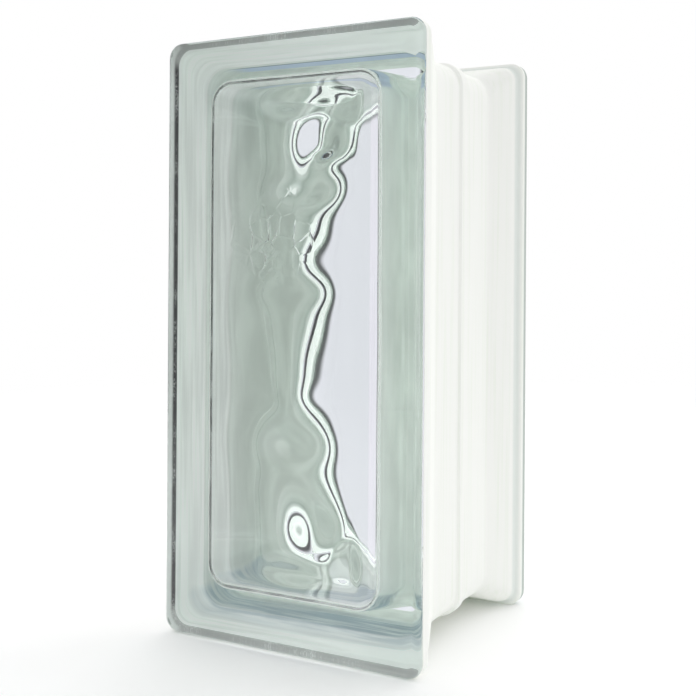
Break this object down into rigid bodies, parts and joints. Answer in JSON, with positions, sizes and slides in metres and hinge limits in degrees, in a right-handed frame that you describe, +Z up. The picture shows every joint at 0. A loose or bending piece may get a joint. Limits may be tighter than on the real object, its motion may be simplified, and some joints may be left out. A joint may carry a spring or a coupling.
{
  "type": "glass block",
  "caption": "Hollow pressed-glass half block with a wavy pane inside each smooth face and a white-coated mortar key round its edges, for glazed walls.",
  "frame": {"origin": "middle of the foot that the block stands on", "axes": "+Z up the block's length, -Y out of its front face, +X to the right seen from the front"},
  "size_m": [0.094, 0.08, 0.19],
  "materials": {
    "glass": "polished pressed glass, faint green tint",
    "edge_coat": "sprayed off-white edge coat, slightly streaky satin"
  },
  "bodies": {
    "root": {"glass_block": "glass", "edge_coating": "edge_coat"}
  },
  "joints": []
}
